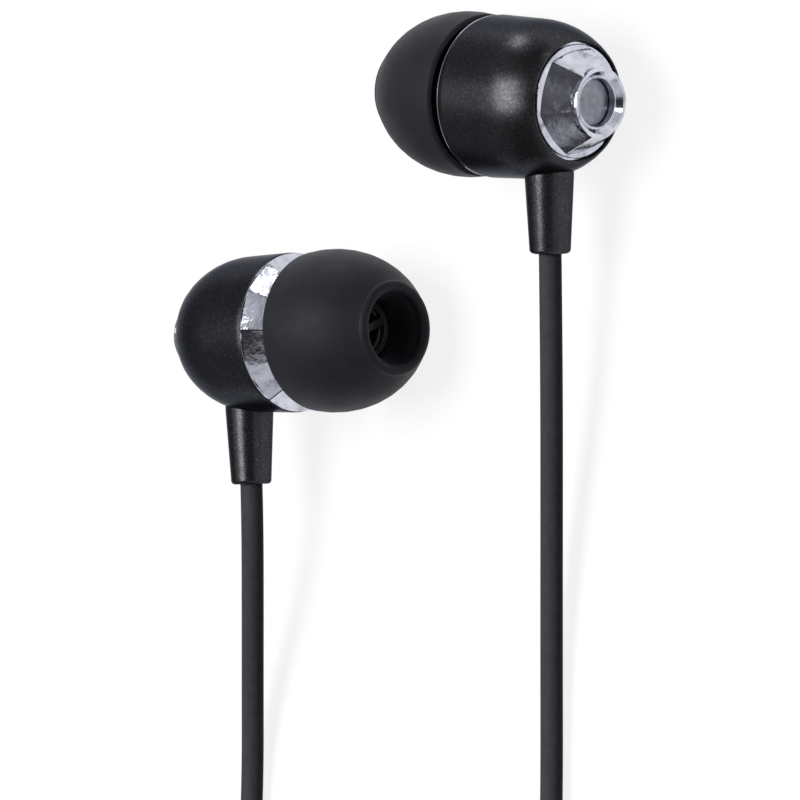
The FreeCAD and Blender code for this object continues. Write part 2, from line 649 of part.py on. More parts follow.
def biarc(start, start_heading, end, end_heading):
    """Two tangent arcs between two points with given headings, as three points each."""
    gap = end - start
    total = start_heading + end_heading
    spread = 2 * (1 - start_heading.dot(end_heading))
    slope = gap.dot(total)
    reach = (-slope + math.sqrt(slope ** 2 + spread * gap.dot(gap))) / spread
    joint = (start + start_heading * reach + end - end_heading * reach) * 0.5
    return [arc_points(start, start_heading, joint), arc_points(end, end_heading * -1, joint)[::-1]]


def arc_points(start, heading, end):
    """The ends and the middle of the arc that leaves a point with a heading and meets another."""
    chord = end - start
    along = Vector(chord).normalize()
    turn = heading.getAngle(along)
    side = (heading - along * heading.dot(along)).normalize()
    return [start, (start + end) * 0.5 + side * (chord.Length / 2 * math.tan(turn / 2)), end]


class Coil:
    """Piled loops that spiral in and out from the left side, going anticlockwise and heading to -Y."""

    def __init__(self, label, kind, entry_x, centre_y, quarters):
        self.label = label
        self.kind = kind
        self.diameter = size(f"{kind}_diameter")
        self.outer = f"({kind}_coil_radius + {kind}_pitch * {max(quarters[:-1])} / 4)"
        self.top = f"(coil_lift + {kind}_diameter / 2 + {kind}_layer * {len(quarters) - 1})"
        inner = size(f"{kind}_coil_radius")
        pitch = size(f"{kind}_pitch")
        layer = size(f"{kind}_layer")
        radius = inner + pitch * quarters[0] / 4
        self.centre = Vector(size(entry_x) + radius, size(centre_y), 0)
        height = size(f"coil_lift + {kind}_diameter / 2")
        angle = math.pi
        outward = -1
        self.stops = []
        for level, count in enumerate(quarters):
            for _ in range(count):
                self.stops.append((angle, radius, height, outward * pitch, 0))
                angle += math.pi / 2
                radius += outward * pitch / 4
            if level < len(quarters) - 1:
                self.stops.append((angle, radius, height, 0, 0))
                self.stops.append((angle + math.pi / 2, radius, height + layer / 2, 0, layer * 3))
                angle += math.pi
                height += layer
            outward = -outward
        self.stops.append((angle, radius, height, -outward * pitch, 0))

    def point(self, stop):
        angle, radius, height = stop[:3]
        return self.centre + Vector(radius * math.cos(angle), radius * math.sin(angle), height)

    def heading(self, stop):
        """The direction of travel, with the spiral's drift and the climb for one turn."""
        angle, radius, _, outward, rise = stop
        along = Vector(-math.sin(angle), math.cos(angle), 0) * (2 * math.pi * radius)
        across = Vector(math.cos(angle), math.sin(angle), 0) * outward
        return (along + across + Vector(0, 0, rise)).normalize()

    def end_heading(self, index):
        """At its two ends the coil runs square to its radius."""
        angle = self.stops[index][0]
        return Vector(-math.sin(angle), math.cos(angle), 0)

    def entry(self):
        """Where the cord comes in, one diameter before the first turn."""
        return self.point(self.stops[0]) - self.end_heading(0) * self.diameter

    def exit(self):
        """Where the cord leaves, one diameter after the last turn."""
        return self.point(self.stops[-1]) + self.end_heading(-1) * self.diameter

    def build(self):
        places = [self.point(stop) for stop in self.stops]
        headings = [self.heading(stop) for stop in self.stops]
        headings[0] = self.end_heading(0)
        headings[-1] = self.end_heading(-1)
        edges = [Part.LineSegment(self.entry(), places[0]).toShape()]
        samples = []
        for index in range(len(places) - 1):
            for points in biarc(places[index], headings[index], places[index + 1], headings[index + 1]):
                edges.append(Part.Arc(*points).toShape())
                samples.extend(edges[-1].discretize(9)[:-1])
        edges.append(Part.LineSegment(places[-1], self.exit()).toShape())
        path = Part.Wire(edges)
        solid = sweep_tube(path, self.entry(), headings[0], self.diameter)
        expected = math.pi * self.diameter ** 2 / 4 * path.Length
        turns = (self.stops[-1][0] - self.stops[0][0]) / (2 * math.pi)
        print(f"{self.label}: length {path.Length:.1f}, {turns:.2f} turns, least gap to itself"
              f" {self.least_gap(samples):.2f}, volume ratio {solid.Volume / expected:.4f}")
        return solid_node(self.label, solid)

    def least_gap(self, samples):
        """The least distance between the surfaces of two turns, over points of the path."""
        half_turn = 32
        return min((one - other).Length for index, one in enumerate(samples)
                   for other in samples[index + half_turn:]) - self.diameter


def rounded_rectangle(sketch, left, bottom, right, top, radius):
    """A rectangle with quarter-circle corners, from formulas."""
    near = f"0.2929 * {radius}"
    draw_outline(sketch, [
        (f"{left} + {radius}", bottom),
        (f"{right} - {radius}", bottom),
        (right, f"{bottom} + {radius}", (f"{right} - {near}", f"{bottom} + {near}")),
        (right, f"{top} - {radius}"),
        (f"{right} - {radius}", top, (f"{right} - {near}", f"{top} - {near}")),
        (f"{left} + {radius}", top),
        (left, f"{top} - {radius}", (f"{left} + {near}", f"{top} - {near}")),
        (left, f"{bottom} + {radius}"),
    ], (f"{left} + {near}", f"{bottom} + {near}"))


def coil_tie(label, coil):
    """A band round all of a coil's turns, on its right side."""
    body = new_body(label)
    sketch = new_sketch(body, label + "_section", "XZ_Plane")
    left = f"({coil.kind}_coil_radius - {coil.kind}_diameter / 2 - tie_side_gap)"
    right = f"({coil.outer} + {coil.kind}_diameter / 2 + tie_side_gap)"
    bottom = "(coil_lift - tie_gap)"
    top = f"({coil.top} + {coil.kind}_diameter / 2 + tie_gap)"
    rounded_rectangle(sketch, left, bottom, right, top, "(tie_round - tie_thickness)")
    rounded_rectangle(sketch, f"({left} - tie_thickness)", f"({bottom} - tie_thickness)",
                      f"({right} + tie_thickness)", f"({top} + tie_thickness)", "tie_round")
    band = body.newObject("PartDesign::Pad", label + "_band")
    band.Profile = sketch
    band.Midplane = True
    band.setExpression("Length", words("tie_width"))
    body.Placement = Placement(coil.centre, Rotation())
    return body


def cord_splitter(label):
    """The moulded junction: wide where the branches enter, narrow where the main cord leaves."""
    return turned(label, [
        ("0", "0"),
        ("0", "splitter_radius - splitter_round"),
        ("splitter_round", "splitter_radius",
         ("0.29 * splitter_round", "splitter_radius - 0.29 * splitter_round")),
        ("splitter_length * 0.45", "splitter_radius"),
        ("splitter_length - splitter_round", "splitter_end_radius"),
        ("splitter_length", "splitter_end_radius - splitter_round",
         ("splitter_length - 0.29 * splitter_round", "splitter_end_radius - 0.29 * splitter_round")),
        ("splitter_length", "0"),
    ])


PIN_START = "(boot_length + grip_length)"
SLEEVE_END = f"({PIN_START} + sleeve_length)"
RING_START = f"({SLEEVE_END} + insulator_length)"
RING_END = f"({RING_START} + ring_length)"
TIP_START = f"({RING_END} + front_insulator_length)"
PIN_END = f"({PIN_START} + pin_length)"


def plug_boot(label):
    """The bend relief, with its grooves, and the spigot in the grip."""
    corners = [("0", "0"), ("0", "boot_end_radius")]
    half = "boot_groove_width / 2"
    floor = "(boot_groove_width / 2 - boot_groove_slope)"
    count = 4
    for index in range(count):
        share = f"{index + 1} / {count + 1}"
        station = f"(boot_length * {share})"
        radius = f"(boot_end_radius + (boot_radius - boot_end_radius) * {share})"
        corners += [(f"{station} - {half}", radius), (f"{station} - {floor}", f"{radius} - boot_groove"),
                    (f"{station} + {floor}", f"{radius} - boot_groove"), (f"{station} + {half}", radius)]
    corners += [("boot_length", "boot_radius"), ("boot_length", "boot_spigot_radius"),
                ("boot_length + boot_spigot", "boot_spigot_radius"), ("boot_length + boot_spigot", "0")]
    return turned(label, corners)


def plug_grip(label):
    """The moulded grip, with a deep bore for the boot's spigot and a wide one for the plug."""
    return turned(label, [
        ("boot_length", "boot_spigot_radius + press"),
        ("boot_length", "grip_radius - grip_round"),
        ("boot_length + grip_round", "grip_radius",
         ("boot_length + 0.29 * grip_round", "grip_radius - 0.29 * grip_round")),
        (f"{PIN_START} - grip_round", "grip_radius"),
        (PIN_START, "grip_radius - grip_round",
         (f"{PIN_START} - 0.29 * grip_round", "grip_radius - 0.29 * grip_round")),
        (PIN_START, "sleeve_shoulder + press"),
        (f"{PIN_START} - sleeve_depth - press", "sleeve_shoulder + press"),
        (f"{PIN_START} - sleeve_depth - press", "boot_spigot_radius + press"),
    ])


def plug_sleeve(label):
    return turned(label, [
        (f"{PIN_START} - sleeve_depth", "sleeve_bore"),
        (f"{PIN_START} - sleeve_depth", "sleeve_shoulder"),
        (PIN_START, "sleeve_shoulder"),
        (PIN_START, "pin_radius"),
        (SLEEVE_END, "pin_radius"),
        (SLEEVE_END, "sleeve_bore"),
    ])


def plug_rear_insulator(label):
    return turned(label, [
        (f"{PIN_START} - sleeve_depth", "ring_tube + press"),
        (f"{PIN_START} - sleeve_depth", "sleeve_bore - press"),
        (SLEEVE_END, "sleeve_bore - press"),
        (SLEEVE_END, "pin_radius"),
        (RING_START, "pin_radius"),
        (RING_START, "ring_tube + press"),
    ])


def plug_ring(label):
    return turned(label, [
        (f"{PIN_START} - sleeve_depth", "ring_tube - ring_wall"),
        (f"{PIN_START} - sleeve_depth", "ring_tube"),
        (RING_START, "ring_tube"),
        (RING_START, "pin_radius"),
        (RING_END, "pin_radius"),
        (RING_END, "ring_tube - ring_wall"),
    ])


def plug_front_insulator(label):
    return turned(label, [
        (f"{PIN_START} - sleeve_depth", "rod_radius + press"),
        (f"{PIN_START} - sleeve_depth", "ring_tube - ring_wall - press"),
        (RING_END, "ring_tube - ring_wall - press"),
        (RING_END, "pin_radius"),
        (TIP_START, "pin_radius"),
        (TIP_START, "rod_radius + press"),
    ])


def plug_tip(label):
    """The plug's tip: a waist that the socket's spring holds, a bulb and a tapered end."""
    return turned(label, [
        (f"{PIN_START} - sleeve_depth", "0"),
        (f"{PIN_START} - sleeve_depth", "rod_radius"),
        (TIP_START, "rod_radius"),
        (TIP_START, "pin_radius - plug_tip_step"),
        (f"{TIP_START} + plug_waist", "plug_waist_radius"),
        (f"{TIP_START} + plug_bulb", "pin_radius"),
        (PIN_END, "0", (f"{PIN_END} - plug_end", "plug_end_radius")),
    ])


def bud_placement(side):
    """The left earphone's tip points to +X; the right one is turned half round its stem."""
    yaw = size(f"{side}_bud_yaw")
    turn = Rotation(Vector(0, 0, 1), yaw if side == "left" else -yaw)
    turn = turn.multiply(Rotation(Vector(1, 0, 0), size(f"{side}_bud_roll")))
    if side == "right":
        turn = turn.multiply(Rotation(Vector(0, 1, 0), 180))
    height = size("max(tip_radius; shell_radius)")
    return Placement(Vector(size(f"{side}_bud_x"), size(f"{side}_bud_y"), height), turn)


def lead_wires(label):
    """Two thin wires from the knot's top to the board's pads."""
    diameter = size("wire_diameter")
    pad = size(f"{BOARD_FRONT} - board_thickness - pad_height - press")
    top = -size("knot_top - press")
    station = size("stem_station")
    spacing = size("pad_spacing")
    spread = size("wire_spread")
    bend = Vector(station + size("wire_bend_station"), -size("wire_bend_height"), 0)
    solids = []
    for side in (-1, 1):
        start = Vector(station, top, side * spread)
        points = [start, start + Vector(0, size("wire_rise"), 0),
                  bend + Vector(0, 0, side * size("wire_bend_spread")),
                  Vector(pad - size("wire_end"), 0, side * spacing), Vector(pad, 0, side * spacing)]
        path, _ = wire_through(points)
        solids.append(sweep_tube(path, points[0], points[1] - points[0], diameter))
    return solid_node(label, Part.makeCompound(solids))


BUD_PIECES = {
    "rear_shell": rear_shell, "end_cap": end_cap, "cap_disc": cap_disc, "bezel_ring": bezel_ring,
    "nozzle": nozzle, "nozzle_guard": nozzle_guard, "nozzle_mesh": nozzle_mesh,
    "driver_cover": driver_cover, "driver_frame": driver_frame, "driver_yoke": driver_yoke,
    "driver_magnet": driver_magnet, "driver_top_plate": driver_top_plate, "voice_coil": voice_coil,
    "diaphragm": diaphragm, "terminal_board": terminal_board, "rear_damper": rear_damper,
    "lead_wires": lead_wires,
}
STEM_PIECES = {"stem": stem, "cord_knot": cord_knot}
PLUG_PIECES = {
    "plug_boot": plug_boot, "plug_grip": plug_grip, "plug_sleeve": plug_sleeve,
    "plug_rear_insulator": plug_rear_insulator, "plug_ring": plug_ring,
    "plug_front_insulator": plug_front_insulator, "plug_tip": plug_tip,
}

nodes = []
cord_starts = {}
for side in ("left", "right"):
    bud = bud_placement(side)
    for name, make in BUD_PIECES.items():
        piece = make(f"{side}_{name}")
        piece.Placement = bud
        nodes.append(piece)
    tip = ear_tip(f"{side}_ear_tip")
    tip.Placement = bud.multiply(Placement(Vector(size(f"{TIP_SEAT} + {side}_tip_out"), 0, 0), Rotation()))
    nodes.append(tip)
    down = bud.multiply(Placement(Vector(size("stem_station"), 0, 0), Rotation(Vector(0, 0, 1), -90)))
    for name, make in STEM_PIECES.items():
        piece = make(f"{side}_{name}")
        piece.Placement = down
        nodes.append(piece)
    ends = ("stem_length", f"stem_length + {side}_cord_straight")
    cord_starts[side] = [down.multVec(Vector(size(end), 0, 0)) for end in ends]

left_coil = Coil("left_coil", "branch", "left_coil_entry_x", "left_coil_y", (4, 4, 4, 3))
right_coil = Coil("right_coil", "branch", "right_coil_entry_x", "right_coil_y", (4, 4, 3, 3))
main_coil = Coil("main_coil", "main", "main_coil_entry_x", "main_coil_y", (6, 6, 6, 6, 6, 7))
splitter_top = Vector(size("splitter_x"), size("splitter_y"), size("splitter_radius + splitter_lift"))
splitter_place = Placement(splitter_top, Rotation(Vector(0, 0, 1), -90 - size("splitter_turn")))
splitter_end = splitter_place.multVec(Vector(size("splitter_length"), 0, 0))
branch_ends = {side: [splitter_place.multVec(Vector(-size(run), sign * size("branch_offset"), 0))
                      for run in ("splitter_run_in", "0")]
               for side, sign in (("left", -1), ("right", 1))}
plug_start = Vector(size("plug_x"), size("plug_y"), size("grip_radius"))
run_in = Vector(0, size("coil_run_in"), 0)


def route(*ends):
    """The points of one stretch of cord: its ends and the hand-chosen list between them."""
    points = []
    for item in ends:
        points += [Vector(*place) for place in item] if isinstance(item, list) else [item]
    return points


left_points = route(*cord_starts["left"], LEFT_ROUTE, left_coil.entry() + run_in, left_coil.entry())
right_points = route(*cord_starts["right"], RIGHT_ROUTE, right_coil.entry() + run_in, right_coil.entry())
nodes += [
    cord("left_cord", left_points, size("branch_diameter")),
    cord("right_cord", right_points, size("branch_diameter")),
    cord("left_coil_lead", route(left_coil.exit(), LEFT_LEAD_ROUTE, *branch_ends["left"]),
         size("branch_diameter")),
    cord("right_coil_lead", route(right_coil.exit(), RIGHT_LEAD_ROUTE, *branch_ends["right"]),
         size("branch_diameter")),
    cord("main_cord", route(splitter_end, MAIN_ROUTE, main_coil.entry()), size("main_diameter")),
    cord("main_cord_tail", route(main_coil.exit(), TAIL_ROUTE, plug_start), size("main_diameter")),
]
for coil in (left_coil, right_coil, main_coil):
    nodes.append(coil.build())
    nodes.append(coil_tie(coil.label + "_tie", coil))

splitter = cord_splitter("cord_splitter")
splitter.Placement = splitter_place
nodes.append(splitter)
for name, make in PLUG_PIECES.items():
    piece = make(name)
    piece.Placement = Placement(plug_start, Rotation(Vector(0, 0, 1), -90))
    nodes.append(piece)

doc.recompute()
for item in doc.Objects:
    if {"Invalid", "Error"} & set(item.State):
        raise RuntimeError(f"{item.Label} failed: {item.State}")
for node in nodes:
    if node.Shape.isNull() or not node.Shape.isValid():
        raise RuntimeError(f"{node.Label} has no valid shape")

os.makedirs("parts", exist_ok=True)
for node in nodes:
    node.Shape.exportStep(f"parts/{node.Label}.step")
print(f"{len(nodes)} nodes written")
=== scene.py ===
import json
import math

import bmesh
import bpy
from mathutils import Matrix, Vector


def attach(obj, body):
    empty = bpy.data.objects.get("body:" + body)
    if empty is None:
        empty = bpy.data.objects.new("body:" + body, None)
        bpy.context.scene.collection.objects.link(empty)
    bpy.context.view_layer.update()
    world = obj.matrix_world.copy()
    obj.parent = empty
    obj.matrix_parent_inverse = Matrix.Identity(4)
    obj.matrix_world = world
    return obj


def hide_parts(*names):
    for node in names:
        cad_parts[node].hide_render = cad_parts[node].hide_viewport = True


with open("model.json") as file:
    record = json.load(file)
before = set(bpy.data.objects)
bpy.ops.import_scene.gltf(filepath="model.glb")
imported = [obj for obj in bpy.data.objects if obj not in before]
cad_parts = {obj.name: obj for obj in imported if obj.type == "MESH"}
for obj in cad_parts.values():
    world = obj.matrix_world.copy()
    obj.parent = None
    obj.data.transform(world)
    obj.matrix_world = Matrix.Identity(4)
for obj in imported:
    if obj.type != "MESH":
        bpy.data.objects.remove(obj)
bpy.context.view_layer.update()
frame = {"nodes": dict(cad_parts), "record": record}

MM = 0.001
ROOT = "earphones"

# Points round a turned piece, degrees between the points of an arc, and what counts as axis and edge
SEGMENTS = 128
FACET_SEGMENTS = 288
ARC_STEP = 7.0
ON_AXIS = 1e-6
BEVEL_ANGLE = math.radians(20)
RIDGE_ANGLE = math.radians(8)

# Threads of the cloth in millimetres, and the bands that a wave texture has in each unit of its scale
CLOTH_PITCH = 0.12
WAVE_RATE = 20

# Where the two earphones lie, in millimetres and degrees
TIP_RADIUS = 6.14
BUDS = {
    "left": {"x": -21.75, "y": -6.45, "yaw": 1.42, "roll": 0.75, "flip": 0, "tip_out": 1.43},
    "right": {"x": 21.63, "y": 10.42, "yaw": -3.86, "roll": 4.75, "flip": 180, "tip_out": 0.0},
}

# Stations along an earphone's axis, from the crest of its end cap, in millimetres
SHELL_BACK = 2.39
SHELL_FRONT = 11.0
SHELL_BORE = 5.25
RIM = 11.03
BEZEL_FOOT = RIM + 0.12
BEZEL_FRONT = 12.41
NOZZLE_BASE = 12.46
NOZZLE_END = 18.7
GUARD_BACK = 18.24
GUARD_FRONT = GUARD_BACK + 0.4
TIP_SEAT = 12.06
STEM_STATION = 5.5
STEM_LENGTH = 11.33

# The crest of the cap, the cones of facets and the spokes of the guard, as stations, radii and degrees
CAP_CREST = 2.6
CAP_CONE = {"foot": (2.37, 4.02), "head": (0.12, 2.68), "facets": 6, "turn": math.radians(19)}
BEZEL_CONE = {
    "foot": (BEZEL_FOOT, 5.95),
    "waist": (0.5 * (BEZEL_FOOT + BEZEL_FRONT), 5.34),
    "head": (BEZEL_FRONT, 4.83),
    "facets": 12,
    "turn": math.radians(28),
}
SPOKES = {"count": 3, "first": -67.4, "notch": 0.375, "reach": 1.85, "half_width": 0.325, "half_angle": 9.96}

# Cords, in millimetres and degrees
BRANCH = {"diameter": 1.7, "pitch": 2.6, "layer": 2.3, "inner": 7.2}
MAIN = {"diameter": 2.0, "pitch": 2.85, "layer": 2.6, "inner": 8.0}
COIL_LIFT = 0.55
COIL_STEPS = 16
COILS = {
    "left": {"kind": BRANCH, "entry_x": -21.35, "centre_y": -54.25, "quarters": (4, 4, 4, 3)},
    "right": {"kind": BRANCH, "entry_x": 1.9, "centre_y": -60.0, "quarters": (4, 4, 3, 3)},
    "main": {"kind": MAIN, "entry_x": -4.4, "centre_y": -100.8, "quarters": (6, 6, 6, 6, 6, 7)},
}
STEM_RUN = {"left": 3.2, "right": 4.2}
COIL_RUN_IN = Vector((0, 4.0, 0))
SPLITTER_TOP = Vector((-0.2, -78.0, 2.55))
SPLITTER_TURN = -105.0
SPLITTER_LENGTH = 11.5
BRANCH_OFFSET = 1.05
SPLITTER_RUN_IN = 4.4
PLUG_START = Vector((-19.0, -99.1, 3.0))
LEFT_ROUTE = [(-17.6, -27.0, 4.34), (-19.9, -33.6, 2.2), (-21.2, -40.0, 0.98), (-21.35, -46.0, 1.15)]
RIGHT_ROUTE = [(14.3, -11.5, 3.98), (12.7, -20.5, 2.4), (11.5, -30.0, 1.22), (11.28, -39.0, 0.98),
               (11.3, -43.7, 1.1), (9.05, -47.6, 1.25), (4.15, -50.4, 1.4)]
LEFT_LEAD_ROUTE = [(-5.6, -63.4, 8.3), (-1.95, -65.5, 7.1), (0.0, -69.2, 4.9)]
RIGHT_LEAD_ROUTE = [(1.9, -65.9, 8.3)]
MAIN_ROUTE = [(-4.01, -92.2, 2.55), (-4.4, -95.8, 1.55)]
TAIL_ROUTE = [(1.8, -87.81, 14.55), (-12.5, -87.8, 5.5), (-16.6, -90.2, 3.8), (-19.0, -94.3, 3.0)]

# Stations along the plug, from its cord's end, in millimetres
BOOT_LENGTH = 6.5
BOOT_END = 12.0
BOOT_RIBS = 5
BOOT_THIN = 1.5
BOOT_FLARE = 0.8
GROOVE = 0.35
GROOVE_FLOOR = 0.3
CORE = 16.1
PIN = 19.5
SLEEVE_END = 26.2
RING_START = 26.9
RING_END = 29.1
TIP_START = 29.6
PIN_RADIUS = 1.75


# Materials

class Graph:
    """The nodes of a material or of the world, added by short calls."""

    def __init__(self, owner):
        owner.use_nodes = True
        self.tree = owner.node_tree

    def add(self, kind, **properties):
        node = self.tree.nodes.new(kind)
        for name, value in properties.items():
            setattr(node, name, value)
        return node

    def put(self, socket, value):
        """Give an input a value, or the output that feeds it."""
        if isinstance(value, bpy.types.NodeSocket):
            self.tree.links.new(value, socket)
        elif hasattr(value, "__len__") and len(value) == 3 and socket.type == "RGBA":
            socket.default_value = (*value, 1)
        else:
            socket.default_value = value

    def set(self, node, **sockets):
        """Fill inputs by their names."""
        for name, value in sockets.items():
            self.put(node.inputs[name.replace("_", " ")], value)
        return node

    def feed(self, node, *values):
        """Fill the first inputs in their order."""
        for socket, value in zip(node.inputs, values):
            self.put(socket, value)
        return node

    def ramp(self, factor, *stops):
        """A colour or grey for each position of a factor."""
        node = self.add("ShaderNodeValToRGB")
        self.set(node, Fac=factor)
        ramp = node.color_ramp
        while len(ramp.elements) < len(stops):
            ramp.elements.new(0.5)
        for element, (position, value) in zip(ramp.elements, stops):
            element.position = position
            element.color = (*value, 1) if hasattr(value, "__len__") else (value, value, value, 1)
        return node.outputs["Color"]

    def maximum(self, one, other):
        """1 where either factor is."""
        return self.feed(self.add("ShaderNodeMath", operation="MAXIMUM"), one, other).outputs[0]

    def toward(self, direction, axis):
        """The cosine between a direction and an axis."""
        node = self.add("ShaderNodeVectorMath", operation="DOT_PRODUCT")
        return self.feed(node, direction, axis).outputs["Value"]

    def fade(self, value, start, end, low=0.0):
        """From low where the value is at its start to 1 at its end."""
        node = self.add("ShaderNodeMapRange")
        return self.set(node, Value=value, From_Min=start, From_Max=end, To_Min=low).outputs["Result"]

    def shade(self, kind, **sockets):
        """A surface or background of a kind."""
        return self.set(self.add(kind), **sockets).outputs[0]

    def choose(self, factor, one, other):
        """One shader where the factor is 0 and the other where it is 1."""
        return self.feed(self.add("ShaderNodeMixShader"), factor, one, other).outputs[0]


class Shader(Graph):
    """A Principled material with noise, cells, mixes and bumps in its own place."""

    def __init__(self, name, **sockets):
        self.material = bpy.data.materials.new(name)
        super().__init__(self.material)
        self.surface = self.tree.nodes["Principled BSDF"]
        self.set(self.surface, **sockets)
        self.place = self.add("ShaderNodeTexCoord").outputs["Object"]

    def noise(self, size, detail, rough=0.5, stretch=None):
        """Noise between 0 and 1 with grains of a size in millimetres."""
        place = self.place
        if stretch:
            mapping = self.add("ShaderNodeMapping")
            self.set(mapping, Vector=place, Scale=stretch)
            place = mapping.outputs["Vector"]
        node = self.add("ShaderNodeTexNoise")
        self.set(node, Vector=place, Scale=1 / (size * MM), Detail=detail, Roughness=rough)
        return node.outputs["Fac"]

    def cells(self, size):
        """A random colour for each cell of a size in millimetres."""
        node = self.add("ShaderNodeTexVoronoi")
        self.set(node, Vector=self.place, Scale=1 / (size * MM))
        return node.outputs["Color"]

    def mix(self, factor, one, other):
        """One colour where the factor is 0 and the other where it is 1."""
        node = self.add("ShaderNodeMix", data_type="RGBA")
        for index, value in ((0, factor), (6, one), (7, other)):
            self.put(node.inputs[index], value)
        return node.outputs[2]

    def bump(self, height, strength, distance):
        """A bump with heights in millimetres."""
        node = self.add("ShaderNodeBump")
        self.set(node, Height=height, Strength=strength, Distance=distance * MM)
        self.set(self.surface, Normal=node.outputs["Normal"])


def pearl():
    """Black paint with fine metal flakes under a soft gloss."""
    shader = Shader("pearl_black", Metallic=0.9, Specular_Tint=(0.4, 0.41, 0.45))
    flakes = shader.ramp(shader.cells(0.09), (0.0, 0.025), (0.6, 0.042), (0.9, 0.1), (1.0, 0.22))
    cloud = shader.noise(1.6, detail=3)
    dark = shader.ramp(cloud, (0.3, (0.038, 0.039, 0.046)), (0.7, (0.05, 0.051, 0.06)))
    shader.set(shader.surface, Base_Color=shader.mix(0.5, dark, flakes))
    shader.set(shader.surface, Roughness=shader.ramp(shader.cells(0.12), (0.0, 0.24), (1.0, 0.36)))
    shader.bump(shader.noise(0.22, detail=3), 0.25, 0.02)
    return shader.material


def chrome():
    """Bright plating that is a little uneven, with darker patches of painted reflection in its colour."""
    shader = Shader("chrome", Metallic=1.0)
    painted_reflection_mottle = shader.noise(1.3, detail=4, rough=0.65)
    # Painted reflection: the darker patches of this base colour stand in for dark surroundings mirrored in
    # the plating; the same mottle also varies the roughness.
    shader.set(shader.surface, Base_Color=shader.ramp(
        painted_reflection_mottle, (0.32, (0.28, 0.285, 0.33)), (0.43, (0.52, 0.532, 0.61)), (0.7, (0.68, 0.694, 0.78))))
    shader.set(shader.surface, Roughness=shader.ramp(painted_reflection_mottle, (0.3, 0.24), (0.6, 0.1)))
    shader.bump(shader.noise(0.7, detail=3), 0.5, 0.06)
    return shader.material


def satin_metal(name, color, grain=0.25, rough=0.4):
    """Satin metal with fine grain in its tone and gloss."""
    shader = Shader(name, Metallic=0.85)
    grains = shader.noise(grain, detail=4)
    shader.set(shader.surface, Base_Color=shader.ramp(
        grains, (0.3, tuple(c * 0.82 for c in color)), (0.7, color)))
    shader.set(shader.surface, Roughness=shader.ramp(grains, (0.3, rough + 0.08), (0.7, rough - 0.06)))
    shader.bump(grains, 0.2, 0.01)
    return shader.material


def silicone():
    """Matte moulded silicone with faint dust and a fine skin."""
    shader = Shader("silicone_black", IOR=1.38, Specular_IOR_Level=0.3, Sheen_Weight=0.12,
                    Sheen_Roughness=0.5, Sheen_Tint=(0.8, 0.82, 1.0))
    cloud = shader.noise(2.2, detail=4, rough=0.6)
    shader.set(shader.surface, Base_Color=shader.ramp(
        cloud, (0.3, (0.0135, 0.014, 0.0185)), (0.7, (0.0185, 0.019, 0.025))))
    shader.set(shader.surface, Roughness=shader.ramp(cloud, (0.3, 0.62), (0.7, 0.52)))
    shader.bump(shader.noise(0.12, detail=3), 0.3, 0.012)
    return shader.material


def plastic(name, color, rough, grain=0.3):
    """Moulded plastic or rubber with fine grain in its tone and gloss."""
    shader = Shader(name)
    grains = shader.noise(grain, detail=4)
    shader.set(shader.surface, Base_Color=shader.ramp(
        grains, (0.3, tuple(c * 0.85 for c in color)), (0.7, color)))
    shader.set(shader.surface, Roughness=shader.ramp(grains, (0.3, rough + 0.06), (0.7, rough - 0.06)))
    shader.bump(grains, 0.3, 0.012)
    return shader.material


def cord_jacket():
    """A soft extruded jacket: matte, with faint lengthwise unevenness."""
    shader = Shader("cord_jacket", IOR=1.4, Specular_IOR_Level=0.1)
    fine = shader.noise(0.35, detail=4, stretch=(1, 0.35, 1))
    shader.set(shader.surface, Base_Color=shader.ramp(
        fine, (0.3, (0.06, 0.06, 0.074)), (0.7, (0.074, 0.074, 0.09))))
    shader.set(shader.surface, Roughness=shader.ramp(fine, (0.3, 0.68), (0.7, 0.6)))
    shader.bump(fine, 0.25, 0.01)
    return shader.material


def cloth(name, color):
    """Fine woven cloth as two crossed waves."""
    shader = Shader(name, Roughness=0.85)
    waves = []
    for direction in ("Y", "Z"):
        node = shader.add("ShaderNodeTexWave", bands_direction=direction)
        shader.set(node, Vector=shader.place, Scale=1 / (CLOTH_PITCH * MM * WAVE_RATE))
        waves.append(node.outputs["Color"])
    weave = shader.mix(0.5, waves[0], waves[1])
    shader.set(shader.surface, Base_Color=shader.ramp(
        weave, (0.3, tuple(c * 0.5 for c in color)), (0.7, color)))
    shader.bump(weave, 0.5, 0.03)
    return shader.material


MATERIALS = {
    "housing": pearl(),
    "chrome": chrome(),
    "silicone": silicone(),
    "cord": cord_jacket(),
    "cap_disc": satin_metal("cap_disc_grey", (0.3, 0.305, 0.355), grain=0.5, rough=0.42),
    "front_housing": plastic("nozzle_black", (0.045, 0.045, 0.05), 0.35),
    "mesh": cloth("damper_cloth", (0.015, 0.015, 0.015)),
    "tie": plastic("tie_rubber", (0.03, 0.03, 0.032), 0.6),
    "plug_moulding": plastic("moulding_black", (0.035, 0.035, 0.04), 0.45, grain=0.2),
    "plug_metal": satin_metal("plug_plating", (0.72, 0.7, 0.66), grain=0.4, rough=0.18),
    "insulator": plastic("insulator_black", (0.02, 0.02, 0.02), 0.3),
    "driver_plastic": plastic("basket_plastic", (0.1, 0.1, 0.1), 0.5),
    "driver_steel": satin_metal("zinc_steel", (0.5, 0.5, 0.52)),
    "magnet": satin_metal("nickel_magnet", (0.4, 0.4, 0.41), rough=0.25),
    "copper": satin_metal("copper_wire", (0.6, 0.3, 0.15), rough=0.3),
    "film": plastic("clear_film", (0.55, 0.55, 0.57), 0.2),
    "board": plastic("solder_mask", (0.03, 0.16, 0.07), 0.4),
}
for row in frame["record"]["subparts"]:
    node = frame["nodes"][row["node"]]
    node.data.materials.clear()
    node.data.materials.append(MATERIALS[row["material_slot"]])


# Meshes

